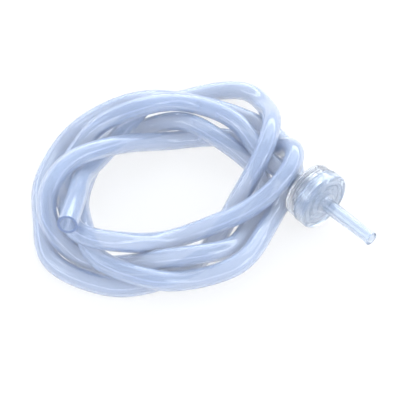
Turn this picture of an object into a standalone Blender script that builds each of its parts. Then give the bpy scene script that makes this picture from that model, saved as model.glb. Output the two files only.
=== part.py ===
"""A self-starting siphon hose: a clear drum foot valve on a loosely coiled clear hose.

The valve lies on its side along X, its drum resting on Z = 0. Its nozzle points to +X and its barb to -X.
The front cap screws off the back half, and a loose disc inside lifts off its seat towards -X.
"""
import math

import bmesh
import bpy
import numpy as np

MM = 0.001
GAP = 0.3 * MM                      # clearance between neighbouring pieces
STEPS = 40                          # sides of a turned piece

DRUM_R = 18.5 * MM                  # outer radius of the front cap
BACK_R = 17.7 * MM                  # outer radius of the back half
WALL = 2.0 * MM
AXIS_Z = DRUM_R
NOZZLE_TIP = 34.5 * MM
CAP_FRONT = -4.0 * MM
CAP_REAR = -12.6 * MM
DRUM_BACK = -20.5 * MM
BARB_TIP = -34.5 * MM
CORNER_R = 2.4 * MM                 # rounding of the drum's front edge

BORE_R = 2.5 * MM                   # water way through the nozzle and the barb
STEM_R = 4.1 * MM                   # nozzle, half way along
BARB_R = 4.2 * MM                   # over the barb's ridges
BARB_ROOT_R = 3.6 * MM              # between them
RIDGE_STARTS = (-22.5 * MM, -26.5 * MM)
RIDGE_RISE = 0.5 * MM               # steep side of a ridge, along X
RIDGE_LENGTH = 3.8 * MM
SOCKET_R = 15.5 * MM                # female thread of the cap
SPIGOT_R = SOCKET_R - GAP
SPIGOT_END = -8.6 * MM
PLATE_BORE_R = 13.2 * MM            # where the seat plate sits
CHAMBER_R = 11.5 * MM               # bore of the back half behind the seat plate
SEAL_SECTION_R = 0.95 * MM
RIB_OUTER_R = 12.0 * MM             # rib inside the cap that holds the seat plate
RIB_INNER_R = 10.0 * MM

PLATE_FRONT = -8.0 * MM
PLATE_BACK = -9.5 * MM
PORT_R = 4.5 * MM
SEAT_R = 6.5 * MM
SEAT_HEIGHT = 0.8 * MM
DISC_R = 8.0 * MM
DISC_THICK = 1.0 * MM
DISC_LIFT = 2.2 * MM
CAGE_BORE_R = 9.6 * MM
CAGE_HUB_R = 3.0 * MM
CAGE_ARM = 1.6 * MM                 # width and depth of the spider's arms
CAGE_ARMS = 3

HOSE_OD = 12.0 * MM
HOSE_SIDES = 4                      # bevel resolution
HOSE_POINTS = 80
FINE = 12                           # samples of the smooth curve between two route points
BEND_WEIGHT = 45 * MM               # how far tight bends draw the tube's points together

# The hose's route in millimetres, from the valve's barb to the open end.
HOSE_ROUTE = (
    # straight off the barb, up over the coil and down its left side
    (-34.8, 0, 18.5), (-60, 0, 19), (-90, 5, 22), (-115, -10, 29), (-124, -35, 38), (-138, -62, 30),
    (-142, -80, 16), (-130, -104, 13),
    # along the front, back over the first stretch and round behind it
    (-101, -121, 24), (-78, -131, 30), (-56, -119, 31), (-48, -90, 16), (-37, -62, 18), (-30, -35, 21),
    (-30, -7, 30), (-46, 12, 26), (-70, 12, 8), (-94, 0, 7),
    # the middle turn, lying on its neighbours at the left
    (-114, -26, 7), (-118, -52, 20), (-120, -80, 32), (-120, -110, 35), (-104, -134, 25), (-80, -132, 8),
    (-58, -121, 9), (-35, -100, 19), (-20, -70, 16), (-26, -45, 7), (-40, -18, 6), (-62, -3, 6),
    # the inner turn, and the front of the coil
    (-88, -9, 16), (-114, -18, 19), (-134, -32, 8), (-141, -56, 7), (-129, -84, 6), (-110, -106, 9),
    (-84, -122, 18), (-60, -130, 20), (-30, -117, 19), (-18, -96, 12),
    # under the valve's stretch, then the outer turn on the floor
    (-6, -70, 16), (-15, -40, 14), (-30, -9, 8), (-44, 14, 6), (-72, 26, 6), (-101, 22, 6), (-125, 8, 9),
    (-133, -18, 25), (-142, -43, 30), (-156, -67, 16), (-154, -90, 7), (-138, -114, 6), (-115, -131, 6),
    (-88, -145, 6), (-58, -137, 6), (-40, -121, 6), (-30, -92, 6),
    # up over the back once more, and the open end on top of the coil
    (-35, -61, 6), (-46, -34, 10), (-50, -12, 27), (-66, 14, 30), (-91, 34, 14), (-115, 39, 8),
    (-133, 20, 6), (-142, -8, 9), (-141, -30, 18), (-129, -66, 17), (-118, -94, 22), (-97, -116, 36),
    (-75, -140, 46),
)

CLEAR_SHELL = ((0.86, 0.92, 0.94, 1), 0.08)
CLEAR_HOSE = ((0.66, 0.76, 0.88, 1), 0.12)
SILICONE = ((0.80, 0.84, 0.85, 1), 0.35)
NATURAL_PLASTIC = ((0.82, 0.88, 0.90, 1), 0.2)


def clear_scene():
    """Remove every object, so that the script can be run again in the same file."""
    for old in list(bpy.data.objects):
        bpy.data.objects.remove(old, do_unlink=True)


def collection(name):
    """Make a collection under the scene's own."""
    group = bpy.data.collections.new(name)
    bpy.context.scene.collection.children.link(group)
    return group


def place(obj, group, look=None):
    """Put an object in its collection, with a material of its own."""
    for old in list(obj.users_collection):
        old.objects.unlink(obj)
    group.objects.link(obj)
    if look:
        colour, roughness = look
        material = bpy.data.materials.new(obj.name)
        material.use_nodes = True
        shader = material.node_tree.nodes["Principled BSDF"]
        shader.inputs["Base Color"].default_value = colour
        shader.inputs["Roughness"].default_value = roughness
        shader.inputs["Metallic"].default_value = 0.0
        obj.data.materials.append(material)
    return obj


def along_axis(obj):
    """Lay a piece that was made round its own Z along the valve's axis, +Z becoming +X."""
    obj.location = (0, 0, AXIS_Z)
    obj.rotation_euler = (0, math.pi / 2, 0)
    return obj


def turned(name, profile, group, look=None):
    """Turn a closed outline of (radius, X) points round the valve's axis."""
    mesh = bpy.data.meshes.new(name)
    points = [(radius, 0, x) for radius, x in profile]
    edges = [(i, i + 1) for i in range(len(points) - 1)]
    on_axis = profile[0][0] == 0 and profile[-1][0] == 0
    if not on_axis:
        edges.append((len(points) - 1, 0))
    mesh.from_pydata(points, edges, [])
    obj = bpy.data.objects.new(name, mesh)
    bpy.context.scene.collection.objects.link(obj)
    screw = obj.modifiers.new("Turn", "SCREW")
    screw.steps = STEPS
    screw.render_steps = STEPS
    screw.use_merge_vertices = True
    screw.merge_threshold = 0.01 * MM
    screw.use_smooth_shade = True
    return place(along_axis(obj), group, look)


def arc(centre_r, centre_x, radius, start, end, count=5):
    """Points of a rounded corner, its angles in degrees from the outward radius towards +X."""
    turns = [math.radians(start + (end - start) * i / count) for i in range(count + 1)]
    return [(centre_r + radius * math.cos(t), centre_x + radius * math.sin(t)) for t in turns]


def inlet_shell(group):
    """Screw cap: rounded front, slender nozzle, socket for the back half and a rib behind the front."""
    inside = CAP_FRONT - WALL
    rib = PLATE_FRONT + GAP
    nozzle = [(STEM_R + 0.15 * MM, NOZZLE_TIP), (STEM_R, NOZZLE_TIP / 2), (STEM_R + 0.4 * MM, 0)]
    root = [(STEM_R + 1.0 * MM, CAP_FRONT + 1.0 * MM), (STEM_R + 2.4 * MM, CAP_FRONT)]
    corner = arc(DRUM_R - CORNER_R, CAP_FRONT - CORNER_R, CORNER_R, 90, 0)
    socket = [(DRUM_R, CAP_REAR), (SOCKET_R, CAP_REAR), (SOCKET_R, inside)]
    ring = [(RIB_OUTER_R, inside), (RIB_OUTER_R, rib), (RIB_INNER_R, rib), (RIB_INNER_R, inside)]
    bore = [(BORE_R, inside), (BORE_R, NOZZLE_TIP)]
    return turned("inlet_shell", nozzle + root + corner + socket + ring + bore, group, CLEAR_SHELL)


def outlet_shell(group):
    """Back half of the drum: spigot for the cap, chamber for the disc, back wall and hose barb."""
    shoulder = CAP_REAR - GAP
    spigot = [(SPIGOT_R, SPIGOT_END), (SPIGOT_R, shoulder), (BACK_R, shoulder)]
    corner = arc(BACK_R - 1.2 * MM, DRUM_BACK + 1.2 * MM, 1.2 * MM, 0, -90, 3)
    barb = [(BARB_ROOT_R, DRUM_BACK)]
    for start in RIDGE_STARTS:
        ridge = start - RIDGE_RISE
        barb += [(BARB_ROOT_R, start), (BARB_R, ridge), (BARB_ROOT_R, start - RIDGE_LENGTH)]
    tip = [(BARB_ROOT_R - 0.3 * MM, BARB_TIP), (BORE_R, BARB_TIP)]
    chamber = [(BORE_R, DRUM_BACK + WALL), (CHAMBER_R, DRUM_BACK + WALL), (CHAMBER_R, PLATE_BACK - GAP)]
    ledge = [(PLATE_BORE_R, PLATE_BACK - GAP), (PLATE_BORE_R, SPIGOT_END)]
    return turned("outlet_shell", spigot + corner + barb + tip + chamber + ledge, group, CLEAR_SHELL)


def seal_ring(group):
    """O-ring between the end of the spigot and the inside of the cap."""
    middle_r = (PLATE_BORE_R + SPIGOT_R) / 2
    middle_x = (SPIGOT_END + CAP_FRONT - WALL) / 2
    bpy.ops.mesh.primitive_torus_add(major_segments=STEPS, minor_segments=10, major_radius=middle_r,
                                     minor_radius=SEAL_SECTION_R)
    ring = bpy.context.active_object
    ring.name = "seal_ring"
    ring.data.shade_smooth()
    place(along_axis(ring), group, SILICONE)
    ring.location.x = middle_x
    return ring


def seat_plate(group):
    """Round plate in the mouth of the back half, with the port and the raised seat behind it."""
    rim_r = PLATE_BORE_R - GAP
    rim = [(rim_r, PLATE_FRONT), (rim_r, PLATE_BACK)]
    top = PLATE_BACK - SEAT_HEIGHT
    seat = [(SEAT_R, PLATE_BACK), (SEAT_R - 0.4 * MM, top), (PORT_R, top)]
    return turned("seat_plate", rim + seat + [(PORT_R, PLATE_FRONT)], group, NATURAL_PLASTIC)


def check_disc(group):
    """Loose silicone disc, at rest on the seat."""
    front = PLATE_BACK - SEAT_HEIGHT - GAP
    edge = 0.3 * MM
    rim = [(DISC_R - edge, front), (DISC_R, front - edge), (DISC_R, front - DISC_THICK + edge)]
    back = [(DISC_R - edge, front - DISC_THICK), (0, front - DISC_THICK)]
    return turned("check_disc", [(0, front)] + rim + back, group, SILICONE)


def disc_cage(group, cutters):
    """Sleeve that guides the disc, with a hub on three arms that stops its lift."""
    sleeve_r = CHAMBER_R - GAP
    front = PLATE_BACK - GAP
    back = DRUM_BACK + WALL + GAP
    stop = PLATE_BACK - SEAT_HEIGHT - GAP - DISC_THICK - DISC_LIFT - GAP
    outline = [(sleeve_r, front), (sleeve_r, back), (CAGE_BORE_R, back), (CAGE_BORE_R, front)]
    cage = turned("disc_cage", outline, group, NATURAL_PLASTIC)
    hub = [(0, stop), (CAGE_HUB_R, stop), (CAGE_HUB_R, stop - CAGE_ARM), (0, stop - CAGE_ARM)]
    joined = [turned("hub_guide", hub, cutters)]
    reach = (CAGE_BORE_R + sleeve_r) / 2
    for number in range(CAGE_ARMS):
        mesh = bpy.data.meshes.new("arm_guide")
        arm_mesh = bmesh.new()
        bmesh.ops.create_cube(arm_mesh, size=1.0)
        bmesh.ops.scale(arm_mesh, vec=(CAGE_ARM * 0.9, CAGE_ARM, reach), verts=arm_mesh.verts)
        bmesh.ops.translate(arm_mesh, vec=(0, 0, reach / 2), verts=arm_mesh.verts)
        arm_mesh.to_mesh(mesh)
        arm_mesh.free()
        arm = bpy.data.objects.new("arm_guide", mesh)
        arm.location = (stop - CAGE_ARM / 2, 0, AXIS_Z)
        arm.rotation_euler = (2 * math.pi * number / CAGE_ARMS, 0, 0)
        joined.append(place(arm, cutters))
    for piece in joined:
        piece.hide_render = True
        piece.display_type = "WIRE"
        union = cage.modifiers.new("Join", "BOOLEAN")
        union.operation = "UNION"
        union.solver = "EXACT"
        union.object = piece
    return cage


def smooth_curve(points):
    """Natural cubic spline through the points, as many close samples, with its curvature at each."""
    knots = np.array(points, float)
    count = len(knots)
    system = np.eye(count)
    right = np.zeros_like(knots)
    for i in range(1, count - 1):
        system[i, i - 1:i + 2] = (1, 4, 1)
        right[i] = 6 * (knots[i + 1] - 2 * knots[i] + knots[i - 1])
    second = np.linalg.solve(system, right)
    place_on = np.linspace(0, count - 1, (count - 1) * FINE + 1)
    span = np.minimum(place_on.astype(int), count - 2)
    after = (place_on - span)[:, None]
    before = 1 - after
    samples = before * knots[span] + after * knots[span + 1]
    samples += ((before ** 3 - before) * second[span] + (after ** 3 - after) * second[span + 1]) / 6
    speed = np.gradient(samples, axis=0)
    turn = np.cross(speed, np.gradient(speed, axis=0))
    curvature = np.linalg.norm(turn, axis=1) / np.linalg.norm(speed, axis=1) ** 3
    return samples, curvature


def tube_points():
    """The hose's points, closer together in its tight bends and never lower than the hose can lie."""
    samples, curvature = smooth_curve(np.array(HOSE_ROUTE) * MM)
    steps = np.linalg.norm(np.diff(samples, axis=0), axis=1)
    weight = 1 + BEND_WEIGHT * (curvature[1:] + curvature[:-1]) / 2
    measure = np.concatenate([[0], np.cumsum(steps * weight)])
    wanted = np.linspace(0, measure[-1], HOSE_POINTS)
    points = np.stack([np.interp(wanted, measure, samples[:, k]) for k in range(3)], axis=1)
    points[:, 2] = np.maximum(points[:, 2], HOSE_OD / 2 + 0.05 * MM)
    return points


def siphon_hose(group):
    """The whole hose, from the tip of the barb to its open end."""
    points = tube_points()
    curve = bpy.data.curves.new("siphon_hose", "CURVE")
    curve.dimensions = "3D"
    curve.bevel_depth = HOSE_OD / 2
    curve.bevel_resolution = HOSE_SIDES
    curve.use_fill_caps = True
    spline = curve.splines.new("POLY")
    spline.points.add(len(points) - 1)
    for point, where in zip(spline.points, points):
        point.co = (*where, 1)
    spline.use_smooth = True
    return place(bpy.data.objects.new("siphon_hose", curve), group, CLEAR_HOSE)


def main():
    clear_scene()
    parts = collection("siphon")
    cutters = collection("cutters")
    outlet_shell(parts)
    inlet_shell(parts)
    seal_ring(parts)
    seat_plate(parts)
    check_disc(parts)
    disc_cage(parts, cutters)
    siphon_hose(parts)


main()
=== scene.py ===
"""Looks of the self-starting siphon hose: its clear coiled hose, its foot valve and the studio light."""
import math

import bmesh
import bpy
import numpy as np
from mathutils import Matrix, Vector


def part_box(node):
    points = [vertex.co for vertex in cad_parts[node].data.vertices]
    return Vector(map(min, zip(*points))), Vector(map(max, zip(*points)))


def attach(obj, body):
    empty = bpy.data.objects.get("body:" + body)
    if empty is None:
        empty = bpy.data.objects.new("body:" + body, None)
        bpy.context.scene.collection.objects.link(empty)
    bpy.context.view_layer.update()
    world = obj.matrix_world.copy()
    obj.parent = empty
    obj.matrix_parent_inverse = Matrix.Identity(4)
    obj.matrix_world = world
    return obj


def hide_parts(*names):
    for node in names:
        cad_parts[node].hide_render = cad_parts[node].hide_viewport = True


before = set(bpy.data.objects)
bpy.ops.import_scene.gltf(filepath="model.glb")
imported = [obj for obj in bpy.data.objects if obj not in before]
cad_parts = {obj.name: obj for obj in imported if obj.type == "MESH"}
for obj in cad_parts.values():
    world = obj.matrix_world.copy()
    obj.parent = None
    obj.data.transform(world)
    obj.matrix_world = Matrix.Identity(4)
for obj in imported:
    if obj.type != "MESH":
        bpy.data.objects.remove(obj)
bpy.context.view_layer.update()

MM = 0.001
GAP = 0.3 * MM

# ------------------------------------------------------------------ places read from the frame
cap_low, cap_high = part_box("inlet_shell")
back_low, back_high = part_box("outlet_shell")
plate_low, plate_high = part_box("seat_plate")
disc_low, disc_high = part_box("check_disc")
cage_low, cage_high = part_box("disc_cage")
seal_low, seal_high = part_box("seal_ring")

AXIS_Z = (cap_low.z + cap_high.z) / 2
DRUM_R = (cap_high.z - cap_low.z) / 2
BACK_R = (back_high.z - back_low.z) / 2
CAP_REAR = cap_low.x
NOZZLE_TIP = cap_high.x
BARB_TIP = back_low.x
SPIGOT_END = back_high.x
WALL = 2.0 * MM
CAP_FRONT = -4.0 * MM
DRUM_BACK = -20.5 * MM
BORE_R = 2.5 * MM
NOZZLE_R = 4.0 * MM
NOZZLE_LIP_R = 4.25 * MM
NOZZLE_LIP = 2.2 * MM               # length of the thicker lip at the nozzle's tip
RIB_OUTER_R = 12.0 * MM             # the rib in the cap that holds the seat plate
RIB_INNER_R = 10.0 * MM
SOCKET_R = 15.5 * MM
SPIGOT_BORE_R = 13.2 * MM
CHAMBER_R = 11.5 * MM
BARB_ROOT_R = 3.6 * MM
BARB_RIDGE_R = 4.2 * MM
BARB_RIDGES = (-22.5 * MM, -26.5 * MM)
SKIRT_RINGS = 3
SKIRT_PITCH = 1.6 * MM
PORT_R = 4.5 * MM
THREAD_PITCH = 3.0 * MM
THREAD_DEPTH = 0.35 * MM
THREAD_RUNOUT = 2.4 * MM            # plain stretch between the cap's thread and its front wall
GUIDE_INNER_R = 9.6 * MM
HUB_R = 3.0 * MM
HUB_DEPTH = 1.6 * MM
HUB_CLEARANCE = 2.5 * MM            # from the seated disc back to the hub that stops it
ARMS = 3
ARM_LENGTH = 7.4 * MM
ARM_MIDDLE_R = 6.3 * MM

# ------------------------------------------------------------------ the hose
HOSE_R = 6.0 * MM
HOSE_BORE_R = 4.5 * MM
HOSE_SIDES = 32
HOSE_STEP = 2.0 * MM                # length between two rings of the tube
HOSE_EASE = 0.25 * MM               # easing of the cut ends' edges
FLOOR_CLEARANCE = 0.05 * MM
FINE = 12                           # samples between two points of the route
SWELL_AT = (2.5 * MM, 6.5 * MM)     # where the barb's ridges stretch the hose, from its start
SWELL = 0.35 * MM
SWELL_WIDTH = 1.1 * MM

# The hose's route in millimetres, from the valve's barb to the open end.
HOSE_ROUTE = (
    # straight off the barb, up over the coil and down its left side
    (-34.8, 0, 18.5), (-60, 0, 19), (-90, 5, 22), (-115, -10, 29), (-124, -35, 38), (-138, -62, 30),
    (-142, -80, 16), (-130, -104, 13),
    # along the front, back over the first stretch and round behind it
    (-101, -121, 24), (-78, -131, 30), (-56, -119, 31), (-48, -90, 16), (-37, -62, 18), (-30, -35, 21),
    (-30, -7, 30), (-46, 12, 26), (-70, 12, 8), (-94, 0, 7),
    # the middle turn, lying on its neighbours at the left
    (-114, -26, 7), (-118, -52, 20), (-120, -80, 32), (-120, -110, 35), (-104, -134, 25), (-80, -132, 8),
    (-58, -121, 9), (-35, -100, 19), (-20, -70, 16), (-26, -45, 7), (-40, -18, 6), (-62, -3, 6),
    # the inner turn, and the front of the coil
    (-88, -9, 16), (-114, -18, 19), (-134, -32, 8), (-141, -56, 7), (-129, -84, 6), (-110, -106, 9),
    (-84, -122, 18), (-60, -130, 20), (-30, -117, 19), (-18, -96, 12),
    # under the valve's stretch, then the outer turn on the floor
    (-6, -70, 16), (-15, -40, 14), (-30, -9, 8), (-44, 14, 6), (-72, 26, 6), (-101, 22, 6), (-125, 8, 9),
    (-133, -18, 25), (-142, -43, 30), (-156, -67, 16), (-154, -90, 7), (-138, -114, 6), (-115, -131, 6),
    (-88, -145, 6), (-58, -137, 6), (-40, -121, 6), (-30, -92, 6),
    # up over the back once more, and the open end on top of the coil
    (-35, -61, 6), (-46, -34, 10), (-50, -12, 27), (-66, 14, 30), (-91, 34, 14), (-115, 39, 8),
    (-133, 20, 6), (-142, -8, 9), (-141, -30, 18), (-129, -66, 17), (-118, -94, 22), (-97, -116, 36),
    (-75, -140, 46),
)

# ------------------------------------------------------------------ finishes
# name: body tint, haze tint, share of haze, refraction, roughness, waviness, size of its noise
FINISHES = {
    "clear_pvc": ((0.974, 0.984, 0.997), (0.54, 0.63, 0.81), 0.33, 1.42, 0.11, 0.01, 25),
    # the cut end faces: a darker, hazier copy of the clear PVC, painted shade for their dark ring
    "shaded_cut_pvc": ((0.6, 0.7, 0.9), (0.18, 0.23, 0.37), 0.85, 1.45, 0.4, 0.3, 400),
    "clear_shell": ((0.985, 0.99, 0.998), (0.70, 0.78, 0.92), 0.08, 1.36, 0.03, 0.02, 90),
    # the cap: a darker-tinted copy of the clear shell plastic, painted shade on the drum and nozzle
    "shaded_clear_cap": ((0.84, 0.88, 0.935), (0.64, 0.72, 0.85), 0.20, 1.45, 0.03, 0.02, 90),
    "natural_plastic": ((0.97, 0.98, 1.0), (0.74, 0.80, 0.92), 0.15, 1.25, 0.1, 0.03, 120),
    "silicone": ((0.96, 0.97, 1.0), (0.66, 0.73, 0.86), 0.25, 1.25, 0.2, 0.03, 150),
}
HAZE_ROUGHNESS = 0.25
WAVE_DEPTH = 0.2 * MM
VARIATION = 0.3                     # how far roughness strays from its middle value
HAZE_VARIATION = 0.2

# ------------------------------------------------------------------ studio values
FLOOR_SIZE = 6.0
FLOOR_DROP = 0.2 * MM
FLOOR_GREY = 0.20
FLOOR_ROUGHNESS = 0.9
FLOOR_GLOW = 0.78
COIL_MIDDLE = (-0.08, -0.05, 0.0)
LIGHT_COLOUR = (0.90, 0.98, 1.0)
# name, place, size, power
LIGHTS = (
    ("back_box", (-0.5, 0.7, 0.8), 1.1, 8.0),
    ("side_box", (0.75, 0.25, 0.55), 0.4, 2.0),
    ("front_box", (-0.5, -0.8, 0.7), 0.5, 2.0),
)
HORIZON = (0.80, 0.87, 1.0)
ZENITH = (0.85, 0.90, 1.0)
WORLD_STRENGTH = 0.75
BAND_STRENGTH = 4.5
BAND = ((0.24, 0), (0.32, 1), (0.44, 1), (0.52, 0))    # height, and how much of the band's strength
CLEAR_BOUNCES = 32
DIFFUSE_BOUNCES = 12
CAMERA_PLACE = (0.3669, -0.4359, 0.6515)
CAMERA_TILT = 42
CAMERA_TURN = 48
CAMERA_LENS = 126.4
SENSOR_WIDTH = 36


def smooth_curve(points):
    """Natural cubic spline through the points, as many close samples."""
    knots = np.array(points, float)
    count = len(knots)
    system = np.eye(count)
    right = np.zeros_like(knots)
    for i in range(1, count - 1):
        system[i, i - 1:i + 2] = (1, 4, 1)
        right[i] = 6 * (knots[i + 1] - 2 * knots[i] + knots[i - 1])
    second = np.linalg.solve(system, right)
    place_on = np.linspace(0, count - 1, (count - 1) * FINE + 1)
    span = np.minimum(place_on.astype(int), count - 2)
    after = (place_on - span)[:, None]
    before = 1 - after
    samples = before * knots[span] + after * knots[span + 1]
    return samples + ((before ** 3 - before) * second[span] + (after ** 3 - after) * second[span + 1]) / 6


def even_points(samples, spacing):
    """The same line with its points evenly spaced."""
    along = np.concatenate([[0], np.cumsum(np.linalg.norm(np.diff(samples, axis=0), axis=1))])
    wanted = np.linspace(0, along[-1], int(round(along[-1] / spacing)) + 1)
    return np.stack([np.interp(wanted, along, samples[:, k]) for k in range(3)], axis=1)


def hose_line():
    """Centreline from the drum's back face, over the barb and along the route to the open end."""
    route = smooth_curve(np.array(HOSE_ROUTE) * MM)
    sleeve = np.array([[DRUM_BACK - GAP, 0, AXIS_Z]])
    line = even_points(np.concatenate([sleeve, route]), HOSE_STEP)
    line[:, 2] = np.maximum(line[:, 2], HOSE_R + FLOOR_CLEARANCE)
    return line


def ring_frames(line):
    """A tangent and two sideways directions at each point, carried along the line without twisting."""
    tangents = np.gradient(line, axis=0)
    tangents /= np.linalg.norm(tangents, axis=1)[:, None]
    side = Vector((0, 0, 1))
    frames = []
    for tangent in map(Vector, tangents):
        side = (side - tangent * side.dot(tangent)).normalized()
        frames.append((side.copy(), tangent.cross(side)))
    return frames


def barb_swell(distance):
    """How much the barb's two ridges stretch the hose, at a distance from its start."""
    swell = 0.0
    for ridge in SWELL_AT:
        swell += SWELL * math.exp(-((distance - ridge) / SWELL_WIDTH) ** 2)
    return swell


def make_hose():
    """The hose as a tube with a real wall, open at both ends, with its cut ends slightly eased."""
    line = hose_line()
    frames = ring_frames(line)
    mesh = bmesh.new()

    def ring(index, radius):
        side, up = frames[index]
        centre = Vector(line[index])
        verts = []
        for k in range(HOSE_SIDES):
            turn = 2 * math.pi * k / HOSE_SIDES
            verts.append(mesh.verts.new(centre + (side * math.cos(turn) + up * math.sin(turn)) * radius))
        return verts

    last = len(line) - 1
    rings = [ring(0, HOSE_R - HOSE_EASE)]
    rings += [ring(i, HOSE_R + barb_swell(i * HOSE_STEP)) for i in range(last + 1)]
    rings += [ring(last, HOSE_R - HOSE_EASE), ring(last, HOSE_BORE_R + HOSE_EASE)]
    rings += [ring(i, HOSE_BORE_R + barb_swell(i * HOSE_STEP)) for i in range(last, -1, -1)]
    rings += [ring(0, HOSE_BORE_R + HOSE_EASE)]
    cut_ends = (last + 1, last + 2, last + 3, len(rings) - 1)
    for number, (first, second) in enumerate(zip(rings, rings[1:] + rings[:1])):
        for k in range(HOSE_SIDES):
            following = (k + 1) % HOSE_SIDES
            face = mesh.faces.new((first[k], first[following], second[following], second[k]))
            # the cut end faces take the second material, the darker copy of the clear PVC painted as shade
            face.material_index = 1 if number in cut_ends else 0
    bmesh.ops.recalc_face_normals(mesh, faces=mesh.faces)
    hose = finish_mesh("clear_hose", mesh)
    return hose, [tuple(p) for p in line]


# ------------------------------------------------------------------ mesh helpers
def finish_mesh(name, mesh):
    """Make an object of a bmesh, shaded smooth with its real edges kept sharp."""
    data = bpy.data.meshes.new(name)
    mesh.to_mesh(data)
    mesh.free()
    data.shade_smooth()
    data.set_sharp_from_angle(angle=math.radians(40))
    obj = bpy.data.objects.new(name, data)
    bpy.context.scene.collection.objects.link(obj)
    return obj


def rounded(outline, closed=True):
    """Replace each (radius, x, rounding) corner of an outline by an arc of that rounding."""
    points = []
    count = len(outline)
    for i, (radius, x, rounding) in enumerate(outline):
        corner = Vector((radius, x))
        if rounding <= 0 or (not closed and i in (0, count - 1)):
            points.append((radius, x))
            continue
        before = Vector(outline[i - 1][:2]) - corner
        after = Vector(outline[(i + 1) % count][:2]) - corner
        reach = min(rounding, before.length * 0.45, after.length * 0.45)
        start = corner + before.normalized() * reach
        end = corner + after.normalized() * reach
        for step in range(5):
            t = step / 4
            spot = start * (1 - t) ** 2 + corner * 2 * t * (1 - t) + end * t ** 2
            points.append((spot.x, spot.y))
    return points


def turned(name, points, steps=96, closed=True, shape=None):
    """Turn (radius, x) points round the valve's axis; shape(radius, x, turn) may move the radius."""
    mesh = bmesh.new()
    rings = []
    for radius, x in points:
        if radius < 1e-7:
            rings.append([mesh.verts.new((x, 0, AXIS_Z))])
            continue
        verts = []
        for k in range(steps):
            turn = 2 * math.pi * k / steps
            here = shape(radius, x, turn) if shape else radius
            verts.append(mesh.verts.new((x, here * math.sin(turn), AXIS_Z + here * math.cos(turn))))
        rings.append(verts)
    pairs = list(zip(rings, rings[1:] + rings[:1])) if closed else list(zip(rings, rings[1:]))
    for first, second in pairs:
        for k in range(steps):
            following = (k + 1) % steps
            corners = [first[k % len(first)], first[following % len(first)],
                       second[following % len(second)], second[k % len(second)]]
            unique = list(dict.fromkeys(corners))
            if len(unique) > 2:
                mesh.faces.new(unique)
    bmesh.ops.recalc_face_normals(mesh, faces=mesh.faces)
    return finish_mesh(name, mesh)


def thread(low, high, base):
    """A function that cuts a screw thread into the stretch of radius base between low and high."""
    def shape(radius, x, turn):
        if abs(radius - base) > 0.01 * MM or not low < x < high:
            return radius
        fade = min(1, (x - low) / (0.6 * MM), (high - x) / (0.6 * MM))
        phase = (x / THREAD_PITCH - turn / (2 * math.pi)) % 1
        tooth = max(0, 1 - abs(phase - 0.5) * 3.2)
        return radius + THREAD_DEPTH * min(1, tooth * 1.4) * fade
    return shape


def stretch(radius, start, end, spacing=0.15 * MM):
    """Close points along a straight run of the outline, for a thread to be cut in."""
    count = max(2, int(abs(end - start) / spacing))
    return [(radius, start + (end - start) * i / count, 0) for i in range(count + 1)]


# ------------------------------------------------------------------ the valve
def make_cap():
    """Front half: crowned front with a raised ring, filleted slender nozzle, threaded socket."""
    inside = CAP_FRONT - WALL
    thread_end = inside - THREAD_RUNOUT
    nozzle = [(BORE_R + 0.9 * MM, NOZZLE_TIP, 0.3 * MM), (NOZZLE_LIP_R, NOZZLE_TIP, 0.4 * MM),
              (NOZZLE_LIP_R, NOZZLE_TIP - NOZZLE_LIP, 0.3 * MM),
              (NOZZLE_R, NOZZLE_TIP - NOZZLE_LIP - 0.8 * MM, 0.6 * MM),
              (4.15 * MM, NOZZLE_TIP / 2, 6 * MM), (4.5 * MM, 0.0, 1.5 * MM)]
    collar = [(4.9 * MM, -2.2 * MM, 1.2 * MM), (6.6 * MM, CAP_FRONT + 0.15 * MM, 1.2 * MM)]
    face = [(12.6 * MM, CAP_FRONT, 0.8 * MM), (12.9 * MM, CAP_FRONT - 0.45 * MM, 0.3 * MM),
            (14.2 * MM, CAP_FRONT - 0.45 * MM, 0.3 * MM), (14.6 * MM, CAP_FRONT, 0.5 * MM),
            (DRUM_R, CAP_FRONT, 2.6 * MM)]
    lip = [(DRUM_R, CAP_REAR + 1.6 * MM, 0.3 * MM), (DRUM_R - 0.4 * MM, CAP_REAR + 1.2 * MM, 0.3 * MM),
           (DRUM_R, CAP_REAR + 0.8 * MM, 0.3 * MM), (DRUM_R, CAP_REAR, 0.4 * MM)]
    socket = [(SOCKET_R, CAP_REAR, 0)] + stretch(SOCKET_R, CAP_REAR + 0.1 * MM, thread_end)
    socket += [(SOCKET_R, inside, 0.4 * MM)]
    rib = [(RIB_OUTER_R, inside, 0.2 * MM), (RIB_OUTER_R, plate_high.x + GAP, 0.2 * MM),
           (RIB_INNER_R, plate_high.x + GAP, 0.2 * MM), (RIB_INNER_R, inside, 0.2 * MM)]
    bore = [(BORE_R + 0.8 * MM, inside, 0.8 * MM), (BORE_R, inside + 1.5 * MM, 0.6 * MM),
            (BORE_R, NOZZLE_TIP - 0.8 * MM, 0.4 * MM)]
    cut = thread(CAP_REAR, thread_end, SOCKET_R)
    return turned("inlet_cap", rounded(nozzle + collar + face + lip + socket + rib + bore), shape=cut)


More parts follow.
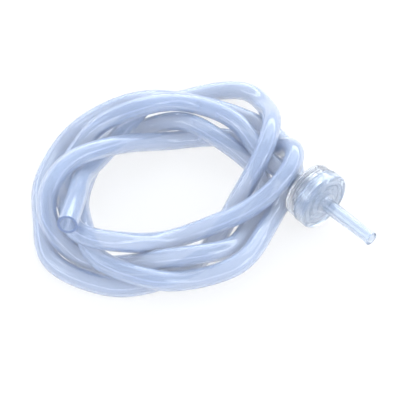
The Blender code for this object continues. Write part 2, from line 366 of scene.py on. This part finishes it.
def make_back():
    """Back half: threaded spigot, stepped skirt, hose barb and the chamber for the disc."""
    shoulder = CAP_REAR - GAP
    spigot_r = SOCKET_R - GAP
    spigot = [(SPIGOT_BORE_R, SPIGOT_END, 0.2 * MM), (spigot_r - 0.2 * MM, SPIGOT_END, 0.2 * MM)]
    spigot += stretch(spigot_r - THREAD_DEPTH, SPIGOT_END - 0.3 * MM, shoulder + 0.2 * MM)
    skirt = [(spigot_r - THREAD_DEPTH, shoulder, 0.1 * MM), (BACK_R, shoulder, 0.3 * MM)]
    for step in range(SKIRT_RINGS):
        start = shoulder - 1.4 * MM - SKIRT_PITCH * step
        skirt += [(BACK_R, start, 0.15 * MM), (BACK_R - 0.35 * MM, start - 0.3 * MM, 0.15 * MM),
                  (BACK_R - 0.35 * MM, start - 0.6 * MM, 0.15 * MM), (BACK_R, start - 0.9 * MM, 0.15 * MM)]
    skirt += [(BACK_R, DRUM_BACK, 1.4 * MM), (7.0 * MM, DRUM_BACK, 0.5 * MM),
              (6.6 * MM, DRUM_BACK + 0.5 * MM, 0.2 * MM), (BARB_ROOT_R, DRUM_BACK + 0.5 * MM, 0.3 * MM)]
    barb = []
    for start in BARB_RIDGES:
        barb += [(BARB_ROOT_R, start, 0.2 * MM), (BARB_RIDGE_R, start - 0.5 * MM, 0.15 * MM),
                 (BARB_ROOT_R, start - 3.8 * MM, 0.3 * MM)]
    tip = [(3.3 * MM, BARB_TIP, 0.3 * MM), (BORE_R, BARB_TIP, 0.2 * MM)]
    plate_rest = plate_low.x + 0.5 * MM
    chamber = [(BORE_R, DRUM_BACK + WALL, 0.6 * MM), (CHAMBER_R, DRUM_BACK + WALL, 0.8 * MM),
               (CHAMBER_R, plate_rest, 0.1 * MM), (SPIGOT_BORE_R, plate_rest, 0.1 * MM)]
    cut = thread(shoulder, SPIGOT_END, spigot_r - THREAD_DEPTH)
    return turned("outlet_back", rounded(spigot + skirt + barb + tip + chamber), shape=cut)


def make_plate():
    """Seat plate: rim, shallow dish, port and the raised seat behind it."""
    rim_r = (plate_high.z - plate_low.z) / 2
    back = plate_low.x + 0.8 * MM
    dish = plate_high.x - 0.35 * MM
    outline = [(rim_r, plate_high.x, 0.2 * MM), (rim_r, back, 0.2 * MM), (6.5 * MM, back, 0.2 * MM),
               (6.1 * MM, plate_low.x, 0.2 * MM), (PORT_R, plate_low.x, 0.15 * MM),
               (PORT_R, plate_high.x, 0.3 * MM), (8.5 * MM, plate_high.x, 0.3 * MM),
               (8.9 * MM, dish, 0.2 * MM), (11.0 * MM, dish, 0.2 * MM),
               (11.4 * MM, plate_high.x, 0.2 * MM)]
    return turned("seat_with_port", rounded(outline))


def make_disc():
    """Silicone disc with a soft rounded edge and a small centre pip."""
    radius = (disc_high.z - disc_low.z) / 2
    outline = [(0, disc_high.x, 0), (radius, disc_high.x, 0.35 * MM), (radius, disc_low.x, 0.35 * MM),
               (1.0 * MM, disc_low.x, 0.2 * MM), (0.8 * MM, disc_low.x + 0.2 * MM, 0.1 * MM),
               (0, disc_low.x + 0.2 * MM, 0)]
    return turned("silicone_disc", rounded(outline, closed=False), closed=False)


def make_seal():
    """O-ring with a fine moulding flash line round its middle."""
    middle_x = (seal_low.x + seal_high.x) / 2
    section = (seal_high.x - seal_low.x) / 2
    radius = (seal_high.z - seal_low.z) / 2 - section
    sides = 28
    points = []
    for k in range(sides):
        turn = 2 * math.pi * k / sides
        flash = 0.04 * MM if k in (0, sides // 2) else 0
        points.append((radius + (section + flash) * math.cos(turn), middle_x + section * math.sin(turn)))
    return turned("o_ring", points)


def make_cage():
    """Guide sleeve with a hub on three plain arms, which stops the disc's lift."""
    sleeve_r = (cage_high.z - cage_low.z) / 2
    sleeve = [(sleeve_r, cage_high.x, 0.2 * MM), (sleeve_r, cage_low.x, 0.2 * MM),
              (GUIDE_INNER_R, cage_low.x, 0.2 * MM), (GUIDE_INNER_R, cage_high.x, 0.5 * MM)]
    cage = turned("disc_guide", rounded(sleeve))
    stop = disc_low.x - HUB_CLEARANCE
    hub = [(0, stop, 0), (HUB_R, stop, 0.3 * MM),
           (HUB_R, stop - HUB_DEPTH, 0.4 * MM), (0, stop - HUB_DEPTH, 0)]
    hub_piece = turned("hub", rounded(hub, closed=False), steps=48, closed=False)
    mesh = bmesh.new()
    mesh.from_mesh(cage.data)
    mesh.from_mesh(hub_piece.data)
    bpy.data.objects.remove(hub_piece, do_unlink=True)
    for number in range(ARMS):
        arm = bmesh.ops.create_cube(mesh, size=1.0)["verts"]
        bmesh.ops.scale(mesh, vec=(HUB_DEPTH * 0.9, HUB_DEPTH, ARM_LENGTH), verts=arm)
        edges = list({edge for vert in arm for edge in vert.link_edges})
        rounded_arm = bmesh.ops.bevel(mesh, geom=edges, offset=0.25 * MM, segments=2, affect="EDGES")
        bevelled = {vert for face in rounded_arm["faces"] for vert in face.verts}
        arm = list(bevelled | {vert for vert in arm if vert.is_valid})
        turn = 2 * math.pi * number / ARMS
        for vert in arm:
            height = vert.co.z + ARM_MIDDLE_R
            across = vert.co.y
            vert.co = Vector((vert.co.x + stop - HUB_DEPTH / 2,
                              across * math.cos(turn) - height * math.sin(turn),
                              AXIS_Z + across * math.sin(turn) + height * math.cos(turn)))
    mesh.to_mesh(cage.data)
    mesh.free()
    return cage


# ------------------------------------------------------------------ materials
def new_material(name):
    """An empty node material with its output."""
    material = bpy.data.materials.new(name)
    material.use_nodes = True
    nodes = material.node_tree.nodes
    nodes.clear()
    output = nodes.new("ShaderNodeOutputMaterial")
    return material, nodes, material.node_tree.links, output


def speckle(nodes, links, scale, low, high):
    """Noise in the piece's own space, mapped between two values."""
    where = nodes.new("ShaderNodeTexCoord")
    noise = nodes.new("ShaderNodeTexNoise")
    noise.inputs["Scale"].default_value = scale
    noise.inputs["Detail"].default_value = 4.0
    spread = nodes.new("ShaderNodeMapRange")
    spread.inputs["From Min"].default_value = 0.3
    spread.inputs["From Max"].default_value = 0.7
    spread.inputs["To Min"].default_value = low
    spread.inputs["To Max"].default_value = high
    links.new(where.outputs["Object"], noise.inputs["Vector"])
    links.new(noise.outputs["Fac"], spread.inputs["Value"])
    return noise, spread


def clear_material(name):
    """A clear plastic: refracting body with a tint, a share of milky haze, and faint surface waviness."""
    tint, haze_tint, haze, ior, roughness, bump, scale = FINISHES[name]
    material, nodes, links, output = new_material(name)
    body = nodes.new("ShaderNodeBsdfPrincipled")
    body.inputs["Base Color"].default_value = (*tint, 1)
    body.inputs["IOR"].default_value = ior
    body.inputs["Transmission Weight"].default_value = 1.0
    milk = nodes.new("ShaderNodeBsdfPrincipled")
    milk.inputs["Base Color"].default_value = (*haze_tint, 1)
    milk.inputs["Roughness"].default_value = HAZE_ROUGHNESS
    share = nodes.new("ShaderNodeMixShader")
    noise, rough = speckle(nodes, links, scale, roughness * (1 - VARIATION), roughness * (1 + VARIATION))
    links.new(rough.outputs["Result"], body.inputs["Roughness"])
    amount = nodes.new("ShaderNodeMapRange")
    amount.inputs["To Min"].default_value = haze * (1 - HAZE_VARIATION)
    amount.inputs["To Max"].default_value = haze * (1 + HAZE_VARIATION)
    links.new(noise.outputs["Fac"], amount.inputs["Value"])
    links.new(amount.outputs["Result"], share.inputs["Fac"])
    waves = nodes.new("ShaderNodeBump")
    waves.inputs["Strength"].default_value = bump
    waves.inputs["Distance"].default_value = WAVE_DEPTH
    links.new(noise.outputs["Fac"], waves.inputs["Height"])
    links.new(waves.outputs["Normal"], body.inputs["Normal"])
    links.new(waves.outputs["Normal"], milk.inputs["Normal"])
    links.new(body.outputs["BSDF"], share.inputs[1])
    links.new(milk.outputs["BSDF"], share.inputs[2])
    links.new(share.outputs["Shader"], output.inputs["Surface"])
    return material


def floor_material():
    """Plain pale matt floor."""
    material, nodes, links, output = new_material("pale_floor")
    matt = nodes.new("ShaderNodeBsdfPrincipled")
    matt.inputs["Base Color"].default_value = (FLOOR_GREY, FLOOR_GREY, FLOOR_GREY, 1)
    matt.inputs["Roughness"].default_value = FLOOR_ROUGHNESS
    matt.inputs["Emission Color"].default_value = (1, 1, 1, 1)
    matt.inputs["Emission Strength"].default_value = FLOOR_GLOW
    links.new(matt.outputs["BSDF"], output.inputs["Surface"])
    return material


def dress(piece, material, body, slot, *nodes):
    """Give a piece its material and body, and hide the CAD nodes that it stands for; the slot argument is
    not used.
    """
    piece.data.materials.append(material)
    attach(piece, body)
    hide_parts(*nodes)


# ------------------------------------------------------------------ studio
def soft_light(name, place, size, power):
    """A square soft light at a place, aimed at the middle of the coil."""
    light = bpy.data.lights.new(name, "AREA")
    light.size = size
    light.energy = power
    light.color = LIGHT_COLOUR
    obj = bpy.data.objects.new(name, light)
    obj.location = place
    aim = Vector(COIL_MIDDLE) - Vector(place)
    obj.rotation_euler = aim.to_track_quat("-Z", "Y").to_euler()
    bpy.context.scene.collection.objects.link(obj)


def room_world():
    """Pale room with a bright band of light all round it, which draws a soft line along each strand."""
    world = bpy.data.worlds.new("pale_room")
    world.use_nodes = True
    nodes = world.node_tree.nodes
    links = world.node_tree.links
    where = nodes.new("ShaderNodeTexCoord")
    parts = nodes.new("ShaderNodeSeparateXYZ")
    links.new(where.outputs["Generated"], parts.inputs["Vector"])
    ramp = nodes.new("ShaderNodeValToRGB")
    ramp.color_ramp.elements[0].color = (*HORIZON, 1)
    ramp.color_ramp.elements[1].color = (*ZENITH, 1)
    links.new(parts.outputs["Z"], ramp.inputs["Fac"])
    links.new(ramp.outputs["Color"], nodes["Background"].inputs["Color"])
    band = nodes.new("ShaderNodeValToRGB")
    band.color_ramp.elements[0].color = (0, 0, 0, 1)
    band.color_ramp.elements[1].color = (0, 0, 0, 1)
    for height, level in BAND:
        element = band.color_ramp.elements.new(height)
        element.color = (level, level, level, 1)
    links.new(parts.outputs["Z"], band.inputs["Fac"])
    brightness = nodes.new("ShaderNodeMapRange")
    brightness.inputs["To Min"].default_value = WORLD_STRENGTH
    brightness.inputs["To Max"].default_value = BAND_STRENGTH
    links.new(band.outputs["Color"], brightness.inputs["Value"])
    links.new(brightness.outputs["Result"], nodes["Background"].inputs["Strength"])
    return world


def studio():
    """Floor, even pale surroundings, soft lights and light paths deep enough for stacked clear walls."""
    scene = bpy.context.scene
    bpy.ops.mesh.primitive_plane_add(size=FLOOR_SIZE, location=(0, 0, -FLOOR_DROP))
    floor = bpy.context.active_object
    floor.name = "floor"
    floor.data.materials.append(floor_material())
    scene.world = room_world()
    for name, place, size, power in LIGHTS:
        soft_light(name, place, size, power)
    scene.view_settings.view_transform = "Standard"
    scene.cycles.max_bounces = CLEAR_BOUNCES
    scene.cycles.transmission_bounces = CLEAR_BOUNCES
    scene.cycles.glossy_bounces = CLEAR_BOUNCES
    scene.cycles.transparent_max_bounces = CLEAR_BOUNCES
    scene.cycles.diffuse_bounces = DIFFUSE_BOUNCES


def camera():
    """The camera: above the front right corner, looking down at the coil."""
    data = bpy.data.cameras.new("camera")
    data.sensor_width = SENSOR_WIDTH
    data.lens = CAMERA_LENS
    obj = bpy.data.objects.new("camera", data)
    obj.location = CAMERA_PLACE
    obj.rotation_euler = (math.radians(CAMERA_TILT), 0, math.radians(CAMERA_TURN))
    bpy.context.scene.collection.objects.link(obj)
    bpy.context.scene.camera = obj


def main():
    camera()
    hose, line = make_hose()
    dress(hose, clear_material("clear_pvc"), "outlet", "clear_hose", "siphon_hose")
    # second material, for the cut ends: the clear PVC darkened as painted shade
    hose.data.materials.append(clear_material("shaded_cut_pvc"))
    # the cap takes the darker copy of the clear shell, painted shade
    dress(make_cap(), clear_material("shaded_clear_cap"), "cap", "clear_shell", "inlet_shell")
    dress(make_back(), clear_material("clear_shell"), "outlet", "clear_shell", "outlet_shell")
    natural = clear_material("natural_plastic")
    dress(make_plate(), natural, "outlet", "natural_plastic", "seat_plate")
    dress(make_cage(), natural, "outlet", "natural_plastic", "disc_cage")
    silicone = clear_material("silicone")
    dress(make_disc(), silicone, "disc", "silicone", "check_disc")
    dress(make_seal(), silicone, "seal", "silicone", "seal_ring")
    studio()


main()
